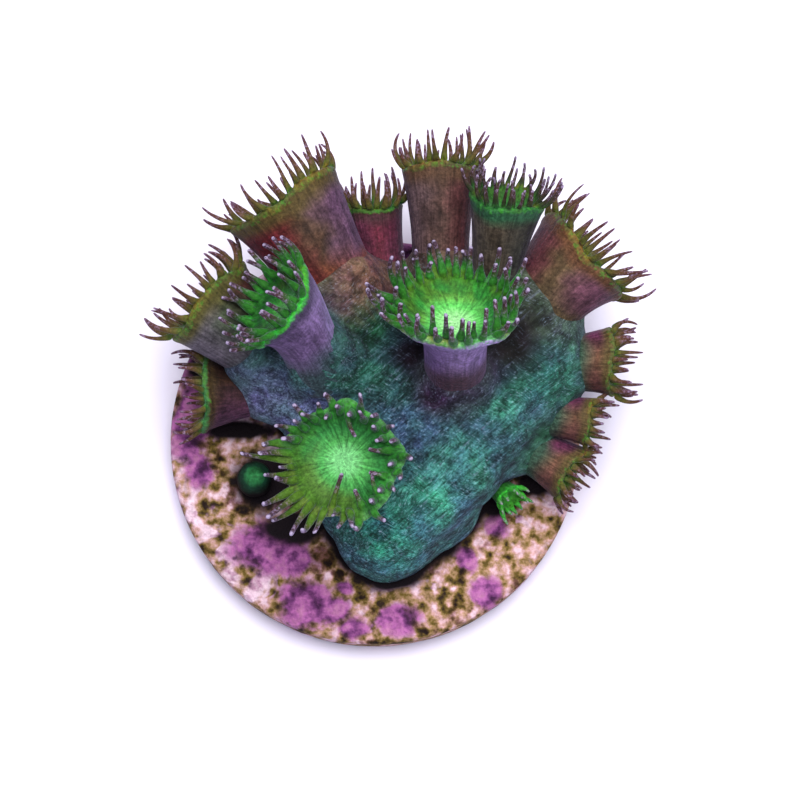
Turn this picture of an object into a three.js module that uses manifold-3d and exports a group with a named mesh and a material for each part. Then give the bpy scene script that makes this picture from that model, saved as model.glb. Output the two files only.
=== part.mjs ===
// A small colony of button polyps on a round frag disc. A fleshy mound, grown over the middle
// of the disc, carries tall polyps that lean out in every direction but the front. Each polyp
// is a flaring tube that ends in a shallow oral disc with a fringe of tentacles on its lip.
// Millimetres, +Z up, origin at the centre of the disc's underside, front towards -Y.
import * as THREE from "three";
import { mergeVertices } from "three/addons/utils/BufferGeometryUtils.js";
import Module from "manifold-3d";

const wasm = await Module();
wasm.setup();

// Frag disc
const DISC_RADIUS = 16;
const DISC_THICKNESS = 3.2;
const DISC_BEVEL = 0.5;
const DISC_SEGMENTS = 48;
const DISC_RINGS = [5, 9.5, 13];
const DISC_RELIEF = 0.16;

// Mound
const GAP = 0.3;
const MOUND_HEART = [3, 3, 6.5];
const MOUND_DETAIL = 8;
const MOUND_BLEND = 2.2;
const ROOT_BLEND = 1.6;
const MOUND_LOBES = [
  { name: "core", at: [3, 3.5, 5], radii: [9, 7.5, 7.6] },
  { name: "left shoulder", at: [-5, 5, 6], radii: [5, 4.6, 6.2] },
  { name: "right shoulder", at: [10.8, 6, 5.5], radii: [6, 5.5, 7] },
  { name: "right brow", at: [7.8, 0.4, 5.5], radii: [4, 4.4, 5.5] },
  { name: "front brow", at: [4.6, -3.8, 4.8], radii: [4, 4.6, 5.2] },
  { name: "left flank", at: [-2.2, -1.5, 4.5], radii: [4.5, 5, 6] },
  { name: "tongue", at: [1, -6.5, 4.4], radii: [4.5, 4.8, 4.6] },
  { name: "back", at: [4, 8.5, 6], radii: [8, 4, 6] },
  { name: "front of the ridge", at: [3.4, -5.6, 7.2], radii: [2.2, 2.2, 2.2] },
  { name: "middle of the ridge", at: [6.8, -2.8, 8.2], radii: [2.2, 2.2, 2.2] },
  { name: "crown of the ridge", at: [9.8, 0.4, 9], radii: [2.2, 2.2, 2.2] },
  { name: "end of the ridge", at: [12.6, 3.8, 9], radii: [2.4, 2.4, 2.4] },
];

// How far along a polyp's root the mound swells round it, and how wide, in necks.
const ROOT_SWELLS = [
  [0.3, 1.18],
  [0.7, 1.06],
];

// Polyps. base is buried in the mound, lip is the centre of the mouth's rim. face is where the
// mouth looks, as degrees round from +X and degrees above level. bend is the share of the
// stalk that runs straight out behind the mouth. flare is where the tube starts to widen, as a
// share of its length. spread leans the outer tentacles, in degrees.
const POLYPS = [
  {
    name: "polyp_left",
    base: [-6.6, 5, 8], lip: [-12.7, 9.3, 11.5], face: [139, 6], bend: 0.5,
    neck: 2.8, rim: 4, flare: 0.1, cup: 1.2, tentacles: 20, reach: 2.4, spread: 62, wave: 0.25,
  },
  {
    name: "polyp_back_left",
    base: [-1.8, 8.3, 9.5], lip: [-6.8, 16.5, 14], face: [124, 8], bend: 0.5,
    neck: 3.1, rim: 4.6, flare: 0.1, cup: 1.2, tentacles: 20, reach: 2.5, spread: 62, wave: 0.25,
  },
  {
    name: "polyp_back_small",
    base: [1.3, 9, 8], lip: [-0.1, 16.9, 9.8], face: [96, 16], bend: 0.5,
    neck: 1.8, rim: 2.3, flare: 0.3, cup: 0.9, tentacles: 16, reach: 2.4, spread: 50, wave: 0.15,
  },
  {
    name: "polyp_back",
    base: [5, 9, 8.5], lip: [5, 19.5, 12.3], face: [91, 8], bend: 0.5,
    neck: 2.1, rim: 3, flare: 0.3, cup: 1, tentacles: 18, reach: 2.3, spread: 60, wave: 0.2,
  },
  {
    name: "polyp_back_upper",
    base: [8.8, 9, 10], lip: [10, 16.2, 16], face: [80, 32], bend: 0.5,
    neck: 1.8, rim: 2.9, flare: 0.2, cup: 0.9, tentacles: 18, reach: 2.3, spread: 58, wave: 0.2,
  },
  {
    name: "polyp_back_right",
    base: [11.4, 7.3, 8.3], lip: [16, 12.9, 10.9], face: [40, 4], bend: 0.5,
    neck: 2.9, rim: 4.3, flare: 0.1, cup: 1.2, tentacles: 20, reach: 2.8, spread: 60, wave: 0.3,
  },
  {
    name: "polyp_right",
    base: [12.6, 4.4, 7.5], lip: [18.2, 5.1, 8.8], face: [-2, 5], bend: 0.5,
    neck: 2, rim: 2.7, flare: 0.2, cup: 0.8, tentacles: 16, reach: 1.8, spread: 56, wave: 0.2,
  },
  {
    name: "polyp_right_middle",
    base: [10.5, 1, 7.2], lip: [16.5, 0.5, 8.3], face: [-14, 4], bend: 0.5,
    neck: 1.5, rim: 1.9, flare: 0.3, cup: 0.7, tentacles: 14, reach: 1.3, spread: 50, wave: 0.15,
  },
  {
    name: "polyp_right_front",
    base: [9.5, -0.2, 6], lip: [15, -3.2, 6.6], face: [-34, 2], bend: 0.5,
    neck: 1.7, rim: 2.3, flare: 0.25, cup: 0.8, tentacles: 14, reach: 1.6, spread: 56, wave: 0.2,
  },
  {
    name: "polyp_under_right",
    base: [7.6, -2.6, 5], lip: [10.4, -5, 5.6], face: [-50, 30], bend: 0.5,
    neck: 0.8, rim: 1.2, flare: 0.3, cup: 0.4, tentacles: 10, reach: 0.9, spread: 40, wave: 0.1,
  },
  {
    name: "polyp_under_left",
    base: [-6.5, 3.4, 6.4], lip: [-13, 3, 7.2], face: [178, 2], bend: 0.5,
    neck: 1.7, rim: 3.2, flare: 0.25, cup: 1, tentacles: 16, reach: 2, spread: 50, wave: 0.2,
  },
  {
    name: "polyp_top_left",
    base: [-3.6, 3.2, 10.2], lip: [-7.2, 7.7, 18], face: [156, 30], bend: 0.25,
    neck: 2.1, rim: 3.7, flare: 0.2, cup: 1.3, tentacles: 20, reach: 2.2, spread: 58, wave: 0.2,
  },
  {
    name: "polyp_top",
    base: [6.1, 3.2, 10.5], lip: [6, 7.1, 19.5], face: [92, 48], bend: 0.4,
    neck: 2.35, rim: 4.7, flare: 0.58, cup: 1.8, tentacles: 22, reach: 2.3, spread: 58, wave: 0.25,
  },
  {
    name: "polyp_front",
    base: [-1.2, -1.6, 9], lip: [-2.3, -3.9, 16.6], face: [228, 76], bend: 0.5,
    neck: 2.2, rim: 4.4, flare: 0.45, cup: 0.9, tentacles: 22, reach: 2.4, spread: 80, wave: 0.4,
  },
];
const BUD = { at: [-9.3, -3.3, 4.2], radii: [1.4, 1.4, 1.9] };

// Tentacles
const INNER_LEAN = 24;
const LIP_WIDTH = 0.75;

const FLESH = { color: 0x2f6b52, roughness: 0.55, metalness: 0 };
const TUBE = { color: 0x6b4234, roughness: 0.5, metalness: 0 };
const OPEN_FACE = { color: 0x35b83a, roughness: 0.45, metalness: 0 };
const CRUSTED_DISC = { color: 0x9a7a74, roughness: 0.9, metalness: 0 };

const vec = (a) => new THREE.Vector3(...a);
const smooth = (t) => t * t * (3 - 2 * t);
const clamp01 = (t) => Math.min(1, Math.max(0, t));
const radians = THREE.MathUtils.degToRad;

// A repeatable number from 0 to 1 for item k of a set.
function chance(k, set) {
  const s = Math.sin(12.9898 * (k + 1) + 78.233 * (set + 1)) * 43758.5453;
  return s - Math.floor(s);
}

// A geometry with only merged positions, as the boolean library wants it.
function welded(geometry, tolerance = 1e-4) {
  const bare = geometry.clone();
  bare.deleteAttribute("normal");
  bare.deleteAttribute("uv");
  return mergeVertices(bare, tolerance);
}

function toSolid(geometry) {
  const g = welded(geometry);
  return new wasm.Manifold(
    new wasm.Mesh({
      numProp: 3,
      vertProperties: g.attributes.position.array,
      triVerts: new Uint32Array(g.index.array),
    }),
  );
}

function toGeometry(solid) {
  const m = solid.getMesh();
  return new THREE.BufferGeometry()
    .setAttribute("position", new THREE.BufferAttribute(m.vertProperties, 3))
    .setIndex(new THREE.BufferAttribute(m.triVerts, 1));
}

// Moves every vertex of a welded geometry by a function of its place.
function reshape(geometry, move) {
  const place = geometry.attributes.position;
  const p = new THREE.Vector3();
  for (let i = 0; i < place.count; i++) {
    p.fromBufferAttribute(place, i);
    move(p);
    place.setXYZ(i, p.x, p.y, p.z);
  }
  return geometry;
}

// The mound's flesh as a distance, negative inside, from lobes that run into each other.
function lobeDistance(p, at, radii) {
  const q = p.clone().sub(at);
  const near = q.clone().divide(radii).length();
  const far = q.divide(radii).divide(radii).length();
  return (near * (near - 1)) / Math.max(far, 1e-6);
}

function softMin(a, b, blend) {
  const h = Math.max(blend - Math.abs(a - b), 0) / blend;
  return Math.min(a, b) - (h * h * blend) / 4;
}

// The balls of flesh that swell the mound round the root of a polyp.
function rootSwells(polyp) {
  return ROOT_SWELLS.map(([along, width]) => ({
    at: vec(polyp.base).lerp(stalkBend(polyp), along),
    radii: new THREE.Vector3().setScalar(polyp.neck * width),
  }));
}

function moundDistance(p) {
  let d = Infinity;
  for (const lobe of MOUND_LOBES)
    d = softMin(d, lobeDistance(p, vec(lobe.at), vec(lobe.radii)), MOUND_BLEND);
  for (const polyp of POLYPS)
    for (const swell of rootSwells(polyp))
      d = softMin(d, lobeDistance(p, swell.at, swell.radii), ROOT_BLEND);
  return d;
}

// The mound's skin, grown or shrunk by an offset: a ball whose vertices slide along their
// rays from the heart until they meet the flesh.
function moundSkin(offset) {
  const heart = vec(MOUND_HEART);
  const ball = welded(new THREE.IcosahedronGeometry(1, MOUND_DETAIL));
  return reshape(ball, (p) => {
    const ray = p.clone().normalize();
    let far = 24;
    for (let step = 0; step < 60; step++) {
      const gap = moundDistance(ray.clone().multiplyScalar(far).add(heart)) - offset;
      if (gap < 0.01) break;
      far -= Math.max(gap * 0.6, 0.01);
    }
    p.copy(ray.multiplyScalar(far).add(heart));
  });
}

// The direction a polyp's mouth looks.
function faceOf(polyp) {
  const [round, above] = polyp.face.map(radians);
  return new THREE.Vector3(
    Math.cos(above) * Math.cos(round),
    Math.cos(above) * Math.sin(round),
    Math.sin(above),
  );
}

// The point that bends a polyp's stalk towards where its mouth looks.
function stalkBend(polyp) {
  const length = vec(polyp.base).distanceTo(vec(polyp.lip));
  return vec(polyp.lip).addScaledVector(faceOf(polyp), -polyp.bend * length);
}

// Frames along a polyp's stalk, carried back from its mouth without twisting.
function stalkFrames(polyp, steps = 24) {
  const curve = new THREE.QuadraticBezierCurve3(
    vec(polyp.base),
    stalkBend(polyp),
    vec(polyp.lip),
  );
  const frames = [];
  let along = faceOf(polyp);
  let side = new THREE.Vector3(0, 0, 1).cross(along).normalize();
  for (let i = steps; i >= 0; i--) {
    const tangent = curve.getTangent(i / steps).normalize();
    side.applyQuaternion(new THREE.Quaternion().setFromUnitVectors(along, tangent));
    along = tangent;
    frames[i] = {
      at: curve.getPoint(i / steps),
      along: along.clone(),
      side: side.clone(),
      up: side.clone().cross(along),
    };
  }
  return frames;
}

// Bends a polyp modelled upright on the Y axis, with its lip at height 1, along its stalk.
// Heights past the lip carry straight on, in millimetres past it.
function bendAlong(geometry, polyp) {
  const frames = stalkFrames(polyp);
  const last = frames.length - 1;
  return reshape(geometry, (p) => {
    const t = clamp01(p.y) * last;
    const low = frames[Math.min(Math.floor(t), last - 1)];
    const high = frames[Math.min(Math.floor(t) + 1, last)];
    const mix = t - Math.min(Math.floor(t), last - 1);
    const at = low.at.clone().lerp(high.at, mix);
    const side = low.side.clone().lerp(high.side, mix);
    const up = low.up.clone().lerp(high.up, mix);
    at.addScaledVector(side, p.x).addScaledVector(up, p.z);
    at.addScaledVector(frames[last].along, Math.max(0, p.y - 1));
    p.copy(at);
  });
}

// The tube's radius at a share of the stalk's length.
function tubeRadius(polyp, share) {
  const opened = clamp01((share - polyp.flare) / (1 - polyp.flare));
  return polyp.neck + (polyp.rim - polyp.neck) * opened ** 1.8;
}

// Grows one tentacle out of a patch of the lip: two rings and a point that curls to one side.
function tentacleOn(corners, lean, length, round) {
  const outward = new THREE.Vector3(Math.sin(round), 0, Math.cos(round));
  const middle = corners.reduce((m, c) => m.add(c), new THREE.Vector3()).divideScalar(4);
  const step = (share, tilt) =>
    outward
      .clone()
      .multiplyScalar(Math.sin(radians(tilt)) * share * length)
      .add(new THREE.Vector3(0, Math.cos(radians(tilt)) * share * length, 0));
  const knee = middle.clone().add(step(0.5, lean));
  const tip = knee.clone().add(step(0.5, lean * 0.45));
  const ring = corners.map((c) => c.clone().sub(middle).multiplyScalar(0.5).add(knee));
  const triangles = [];
  for (let i = 0; i < 4; i++) {
    const j = (i + 1) % 4;
    triangles.push(corners[i], corners[j], ring[j], corners[i], ring[j], ring[i]);
    triangles.push(ring[i], ring[j], tip);
  }
  return triangles;
}

// One polyp: a lathe-turned tube, lip and cup, with a tentacle on every patch of the lip.
function polypGeometry(polyp, set) {
  const { rim, cup, tentacles, reach, spread, wave } = polyp;
  const length = vec(polyp.base).distanceTo(vec(polyp.lip));
  const down = (mm) => 1 - mm / length;
  const profile = [new THREE.Vector2(0, 0)];
  for (const share of [0, 0.28, 0.55, 0.8])
    profile.push(new THREE.Vector2(tubeRadius(polyp, share), share));
  profile.push(new THREE.Vector2(rim, 1));
  const lipRow = profile.length - 1;
  profile.push(new THREE.Vector2(rim - LIP_WIDTH * Math.min(1, rim / 3), 1));
  profile.push(new THREE.Vector2(rim * 0.45, down(cup * 0.9)));
  profile.push(new THREE.Vector2(0, down(cup * 0.7)));
  const turned = new THREE.LatheGeometry(profile, tentacles).toNonIndexed();
  const place = turned.attributes.position;
  const rows = profile.length - 1;
  const points = [];
  const corner = (i) => new THREE.Vector3().fromBufferAttribute(place, i);
  for (let column = 0; column < tentacles; column++)
    for (let row = 0; row < rows; row++) {
      const first = (column * rows + row) * 6;
      const [a, b, d] = [0, 1, 2].map((k) => corner(first + k));
      const c = corner(first + 3);
      if (row !== lipRow) {
        for (let k = 0; k < 6; k++) points.push(corner(first + k));
        continue;
      }
      const round = (2 * Math.PI * (column + 0.5)) / tentacles;
      const lean = (column % 2 ? INNER_LEAN : spread) + 16 * (chance(column, set) - 0.5);
      const size = reach * (0.8 + 0.35 * chance(column + 50, set));
      points.push(...tentacleOn([a, b, c, d], lean, size, round));
    }
  const straight = new THREE.BufferGeometry().setFromPoints(points);
  const fringed = welded(straight, 1e-3);
  reshape(fringed, (p) => {
    const around = Math.atan2(p.z, p.x);
    const open = clamp01((p.y - 0.5) * 2) * clamp01(Math.hypot(p.x, p.z) / rim);
    const lift = wave * open * Math.sin(3 * around + 2 * set);
    p.y = p.y > 1 ? p.y + lift : p.y + lift / length;
  });
  return bendAlong(fringed, polyp);
}

// The disc: a plain puck with bevelled edges and a gently uneven crust on top.
function discGeometry() {
  const top = DISC_THICKNESS;
  const edge = DISC_RADIUS - DISC_BEVEL;
  const profile = [
    new THREE.Vector2(0, 0),
    new THREE.Vector2(edge, 0),
    new THREE.Vector2(DISC_RADIUS, DISC_BEVEL),
    new THREE.Vector2(DISC_RADIUS, top - DISC_BEVEL),
    new THREE.Vector2(edge, top),
    ...[...DISC_RINGS].reverse().map((r) => new THREE.Vector2(r, top)),
    new THREE.Vector2(0, top),
  ];
  const puck = welded(new THREE.LatheGeometry(profile, DISC_SEGMENTS)).rotateX(Math.PI / 2);
  return reshape(puck, (p) => {
    const out = Math.hypot(p.x, p.y);
    if (p.z < top - 0.01 || out > edge - 0.5) return;
    p.z -= DISC_RELIEF * (1 + Math.sin(1.1 * p.x + 0.4 * p.y) * Math.cos(0.9 * p.y - 0.3 * p.x));
  });
}

const disc = toSolid(discGeometry());
const underDisc = toSolid(
  new THREE.CylinderGeometry(2 * DISC_RADIUS, 2 * DISC_RADIUS, 20, 48)
    .rotateX(Math.PI / 2)
    .translate(0, 0, DISC_THICKNESS + 0.02 - 10),
);
const mound = toSolid(moundSkin(0)).subtract(underDisc);
const moundWithGap = toSolid(moundSkin(GAP));

const colony = new THREE.Group();
function place(name, solid, finish) {
  const mesh = new THREE.Mesh(toGeometry(solid), new THREE.MeshStandardMaterial(finish));
  mesh.name = name;
  colony.add(mesh);
}

place("frag_disc", disc, CRUSTED_DISC);
place("fleshy_mound", mound, FLESH);
POLYPS.forEach((polyp, set) => {
  const grown = toSolid(polypGeometry(polyp, set)).subtract(moundWithGap);
  place(polyp.name, grown, polyp.face[1] > 25 ? OPEN_FACE : TUBE);
});

const bud = welded(new THREE.SphereGeometry(1, 12, 8))
  .scale(...BUD.radii)
  .translate(...BUD.at);
place("closed_bud", toSolid(bud).subtract(underDisc), FLESH);

export default colony;
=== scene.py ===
import math
import random

import bmesh
import bpy
import numpy as np
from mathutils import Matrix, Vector, noise


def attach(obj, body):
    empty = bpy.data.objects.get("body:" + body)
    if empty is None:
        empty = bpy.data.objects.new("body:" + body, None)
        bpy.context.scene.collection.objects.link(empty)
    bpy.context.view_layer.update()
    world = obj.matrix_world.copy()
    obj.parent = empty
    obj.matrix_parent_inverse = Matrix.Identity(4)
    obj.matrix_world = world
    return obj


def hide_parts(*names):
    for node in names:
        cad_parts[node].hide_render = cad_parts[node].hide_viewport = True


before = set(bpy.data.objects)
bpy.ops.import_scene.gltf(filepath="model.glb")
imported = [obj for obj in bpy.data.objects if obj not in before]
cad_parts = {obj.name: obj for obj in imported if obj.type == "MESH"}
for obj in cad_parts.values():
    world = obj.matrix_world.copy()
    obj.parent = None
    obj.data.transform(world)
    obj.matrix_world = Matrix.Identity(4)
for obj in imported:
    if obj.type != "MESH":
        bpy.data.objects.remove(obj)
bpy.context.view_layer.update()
MM = 0.001

# The colony's places and sizes, the same as in its solids

DISC_RADIUS = 16.0
DISC_TOP = 3.2
# Flesh starts this far down in the disc, so that no gap shows.
FLESH_FOOT = DISC_TOP - 0.1

# The mound: its lobes' middles and half widths, and how softly they run together.
MOUND_HEART = (3, 3, 6.5)
MOUND_BLEND = 2.2
MOUND_LOBES = [
    ((3, 3.5, 5), (9, 7.5, 7.6)),
    ((-5, 5, 6), (5, 4.6, 6.2)),
    ((10.8, 6, 5.5), (6, 5.5, 7)),
    ((7.8, 0.4, 5.5), (4, 4.4, 5.5)),
    ((4.6, -3.8, 4.8), (4, 4.6, 5.2)),
    ((-2.2, -1.5, 4.5), (4.5, 5, 6)),
    ((1, -6.5, 4.4), (4.5, 4.8, 4.6)),
    ((4, 8.5, 6), (8, 4, 6)),
    ((3.4, -5.6, 7.2), (2.2, 2.2, 2.2)),
    ((6.8, -2.8, 8.2), (2.2, 2.2, 2.2)),
    ((9.8, 0.4, 9), (2.2, 2.2, 2.2)),
    ((12.6, 3.8, 9), (2.4, 2.4, 2.4)),
]
# The mound swells round each polyp's root: how far towards the stalk's knee, and how wide
# beside its neck.
ROOT_SWELLS = [(0.3, 1.18), (0.7, 1.06)]
ROOT_BLEND = 1.6

# The polyps. base, lip: the ends of the stalk. face: where the mouth looks, in degrees round
# from +X and above level. bend: how far the knee is from the lip, as a share of the stalk.
# neck, rim: the tube's radius below and at the lip. flare: where it starts to open. cup: how
# deep the mouth is. wave: how far the lip waves. swells: how many of the root swells it has.
# skirt: how much its foot widens.
# fringe: how many tentacles. reach: how long they are. spread: how far out they lean, in
# degrees. flop: the side, in degrees round the mouth, where they lie out further, by how many
# degrees and by what share of their length. folds: how many lie in over the mouth on the other
# side. tips: their kind.
# tones: its colours. root: how far up the foot's colour goes. olive: the side, in degrees
# round the mouth, where its margin turns olive.
POLYPS = [
    dict(
        name="polyp_left", base=(-6.6, 5, 8), lip=(-12.7, 9.3, 11.5), face=(139, 6), bend=0.5,
        neck=2.8, rim=4.0, flare=0.1, cup=1.2, wave=0.25,
        fringe=32, reach=2.6, spread=60, flop=(0, 0, 0),
        tips="pointed", tones="olive", root=0.4,
    ),
    dict(
        name="polyp_back_left", base=(-1.8, 8.3, 9.5), lip=(-6.8, 16.5, 14), face=(124, 8),
        bend=0.5, neck=3.1, rim=4.6, flare=0.1, cup=1.2, wave=0.25,
        fringe=34, reach=2.7, spread=60, flop=(0, 0, 0),
        tips="pointed", tones="maroon", root=0.4,
    ),
    dict(
        name="polyp_back_small", base=(1.3, 9, 8), lip=(-0.1, 16.9, 9.8), face=(96, 16),
        bend=0.5, neck=1.8, rim=2.3, flare=0.3, cup=0.9, wave=0.15,
        fringe=26, reach=2.7, spread=56, flop=(0, 0, 0),
        tips="pointed", tones="wine", root=0.2,
    ),
    dict(
        name="polyp_back", base=(5, 9, 8.5), lip=(5, 19.5, 12.3), face=(91, 8), bend=0.5,
        neck=2.1, rim=3.0, flare=0.3, cup=1.0, wave=0.2,
        fringe=28, reach=2.7, spread=56, flop=(0, 0, 0),
        tips="pointed", tones="rust", root=0.2,
    ),
    dict(
        name="polyp_back_upper", base=(8.8, 9, 10), lip=(10, 16.2, 16), face=(80, 32), bend=0.5,
        neck=1.8, rim=2.9, flare=0.2, cup=0.9, wave=0.2,
        fringe=40, reach=2.3, spread=50, flop=(270, 16, 0),
        tips="dusky", tones="teal", root=0.2,
    ),
    dict(
        name="polyp_back_right", base=(11.4, 7.3, 8.3), lip=(16, 12.9, 10.9), face=(40, 4),
        bend=0.5, neck=2.9, rim=4.3, flare=0.1, cup=1.2, wave=0.3,
        fringe=34, reach=3.0, spread=62, flop=(0, 0, 0),
        tips="pointed", tones="bronze", root=0.5,
    ),
    dict(
        name="polyp_right", base=(12.6, 4.4, 7.5), lip=(18.2, 5.1, 8.8), face=(-2, 5), bend=0.5,
        neck=2.0, rim=2.7, flare=0.2, cup=0.8, wave=0.2,
        fringe=24, reach=2.1, spread=56, flop=(0, 0, 0),
        tips="pointed", tones="amber", root=0.62,
    ),
    dict(
        name="polyp_right_middle", base=(10.5, 1, 7.2), lip=(16.5, 0.5, 8.3), face=(-14, 4),
        bend=0.5, neck=1.5, rim=1.9, flare=0.3, cup=0.7, wave=0.15,
        fringe=20, reach=1.5, spread=52, flop=(0, 0, 0),
        tips="pointed", tones="amber", root=0.62,
    ),
    dict(
        name="polyp_right_front", base=(9.5, -0.2, 6), lip=(15, -3.2, 6.6), face=(-34, 2),
        bend=0.5, neck=1.7, rim=2.3, flare=0.25, cup=0.8, wave=0.2,
        fringe=22, reach=1.7, spread=54, flop=(0, 0, 0),
        tips="pointed", tones="amber", root=0.62,
    ),
    dict(
        name="polyp_under_right", base=(7.6, -2.6, 5), lip=(10.4, -5, 5.6), face=(-50, 30),
        bend=0.5, neck=0.8, rim=1.2, flare=0.3, cup=0.4, wave=0.1,
        fringe=12, reach=1.2, spread=40, flop=(0, 0, 0),
        tips="leafy", tones="leaf",
    ),
    dict(
        name="polyp_under_left", base=(-6.5, 3.4, 6.4), lip=(-13, 3, 7.2), face=(178, 2),
        bend=0.5, neck=1.7, rim=3.2, flare=0.25, cup=1.0, wave=0.2,
        fringe=26, reach=2.4, spread=58, flop=(0, 0, 0),
        tips="pointed", tones="umber",
    ),
    dict(
        name="polyp_top_left", base=(-3.6, 3.2, 10.2), lip=(-7.2, 7.7, 18), face=(156, 30),
        bend=0.25, neck=2.1, rim=3.7, flare=0.2, cup=1.3, wave=0.2,
        fringe=34, reach=2.8, spread=50, flop=(0, 0, 0),
        tips="knobbed", tones="heather", root=0.32,
    ),
    dict(
        name="polyp_top", base=(6.1, 3.2, 10.5), lip=(6, 7.1, 19.5), face=(92, 48), bend=0.4,
        neck=2.35, rim=4.7, flare=0.58, cup=1.8, wave=0.25, swells=1, skirt=0,
        fringe=50, reach=2.45, spread=50, flop=(10, 14, 0.2),
        tips="knobbed", tones="lilac", root=0.44,
    ),
    dict(
        name="polyp_front", base=(-1.2, -1.6, 9), lip=(-2.3, -3.9, 16.6), face=(228, 76),
        bend=0.5, neck=2.2, rim=4.4, flare=0.45, cup=0.9, wave=0.5,
        fringe=46, reach=2.2, spread=66, flop=(250, 24, 0.8), folds=0.3,
        tips="knobbed", tones="moss", root=0.5, olive=262,
    ),
]
BUD = dict(at=(-9.3, -3.3, 4.2), radii=(1.4, 1.4, 1.9))

# How bright the lamps are: each colour is made darker by this, to look right under them.
LAMPLIGHT = 1.45


def srgb(r, g, b):
    """A colour as it looks under the lamps, in everyday 0 to 255 numbers, for a socket."""
    out = []
    for c in (r, g, b):
        c /= 255
        out.append((c / 12.92 if c < 0.04 else ((c + 0.055) / 1.055) ** 2.4) / LAMPLIGHT)
    return (*out, 1.0)


# Stalks: a polyp is made straight, then bent along its own


def looking(face):
    around, above = (math.radians(a) for a in face)
    level = math.cos(above)
    return Vector((level * math.cos(around), level * math.sin(around), math.sin(above)))


def stalk_length(polyp):
    return (Vector(polyp["lip"]) - Vector(polyp["base"])).length


def stalk_knee(polyp):
    return Vector(polyp["lip"]) - looking(polyp["face"]) * polyp["bend"] * stalk_length(polyp)


def stalk_frames(polyp, steps=32):
    """Places and cross directions along a stalk, carried back from the mouth without twist."""
    base, knee, lip = Vector(polyp["base"]), stalk_knee(polyp), Vector(polyp["lip"])
    along = looking(polyp["face"])
    side = Vector((0, 0, 1)).cross(along).normalized()
    rows = []
    for i in range(steps, -1, -1):
        t = i / steps
        at = base * (1 - t) ** 2 + knee * 2 * t * (1 - t) + lip * t * t
        tangent = ((knee - base) * (1 - t) + (lip - knee) * t).normalized()
        side.rotate(along.rotation_difference(tangent))
        along = tangent
        rows.append((at[:], side[:], along.cross(side)[:]))
    return np.array(rows[::-1])


def bend_along_stalk(points, polyp):
    """Bends straight points, with the lip at the stalk's length, along the stalk."""
    rows = stalk_frames(polyp)
    last = len(rows) - 1
    length = stalk_length(polyp)
    share = np.clip(points[:, 2] / length, 0, 1) * last
    low = np.minimum(share.astype(int), last - 1)
    mix = (share - low)[:, None]
    at, side, up = ((1 - mix) * rows[low, k] + mix * rows[low + 1, k] for k in range(3))
    past = np.maximum(points[:, 2] - length, 0)[:, None]
    face = np.array(looking(polyp["face"]))
    return at + side * points[:, :1] + up * points[:, 1:2] + face * past


# How much a tube widens where it leaves the mound, beside its neck.
SKIRT = 0.3


def tube_radius(polyp, share):
    """A tube's radius: a skirt where it leaves the mound, a straight neck, then the flare."""
    opened = max(0.0, (share - polyp["flare"]) / (1 - polyp["flare"]))
    skirt = polyp.get("skirt", SKIRT) * polyp["neck"] * max(0.0, 1 - 1.8 * share) ** 2
    return polyp["neck"] + (polyp["rim"] - polyp["neck"]) * opened**1.8 + skirt


# Meshes


def finished(bm, name, node, material, levels=0):
    """Makes a bmesh in millimetres a smooth object in metres that replaces a solid."""
    bmesh.ops.recalc_face_normals(bm, faces=bm.faces)
    bmesh.ops.scale(bm, vec=(MM, MM, MM), verts=bm.verts)
    mesh = bpy.data.meshes.new(name)
    bm.to_mesh(mesh)
    bm.free()
    mesh.shade_smooth()
    mesh.materials.append(material)
    piece = bpy.data.objects.new(name, mesh)
    bpy.context.collection.objects.link(piece)
    if levels:
        soften = piece.modifiers.new("soften", "SUBSURF")
        soften.levels = soften.render_levels = levels
    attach(piece, "root")
    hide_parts(node)
    return piece


def next_ring(bm, edges, radius, height, rise_mark, rise):
    """Grows a ring of walls up from the open edge, to a radius and a height."""
    grown = bmesh.ops.extrude_edge_only(bm, edges=edges)["geom"]
    verts = [g for g in grown if isinstance(g, bmesh.types.BMVert)]
    walls = [g for g in grown if isinstance(g, bmesh.types.BMFace)]
    new = set(verts)
    rim = [g for g in grown if isinstance(g, bmesh.types.BMEdge) and set(g.verts) <= new]
    for v in verts:
        flat = Vector((v.co.x, v.co.y, 0)).normalized() * radius
        v.co = (flat.x, flat.y, height)
        v[rise_mark] = rise
    return rim, walls, verts


# How far along a tentacle each of its rings is, and how wide each kind is there.
TIP_STEPS = (0.12, 0.28, 0.44, 0.6, 0.74, 0.86, 0.95, 1.0)
TIP_WIDTHS = {
    "knobbed": (2.0, 1.45, 1.1, 0.94, 0.86, 0.82, 0.88, 0.46),
    "pointed": (1.8, 1.32, 1.05, 0.88, 0.75, 0.62, 0.5, 0.25),
    "dusky": (1.6, 1.2, 1.0, 0.9, 0.8, 0.75, 0.8, 0.4),
    "leafy": (1.4, 1.2, 1.0, 0.85, 0.7, 0.6, 0.5, 0.3),
}
# Half the width that the widths above are shares of, and the most it may be beside the rim.
TIP_HALF_WIDTHS = {"knobbed": 0.2, "pointed": 0.17, "leafy": 0.2, "dusky": 0.14}
TIP_TO_RIM = 0.14


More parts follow.
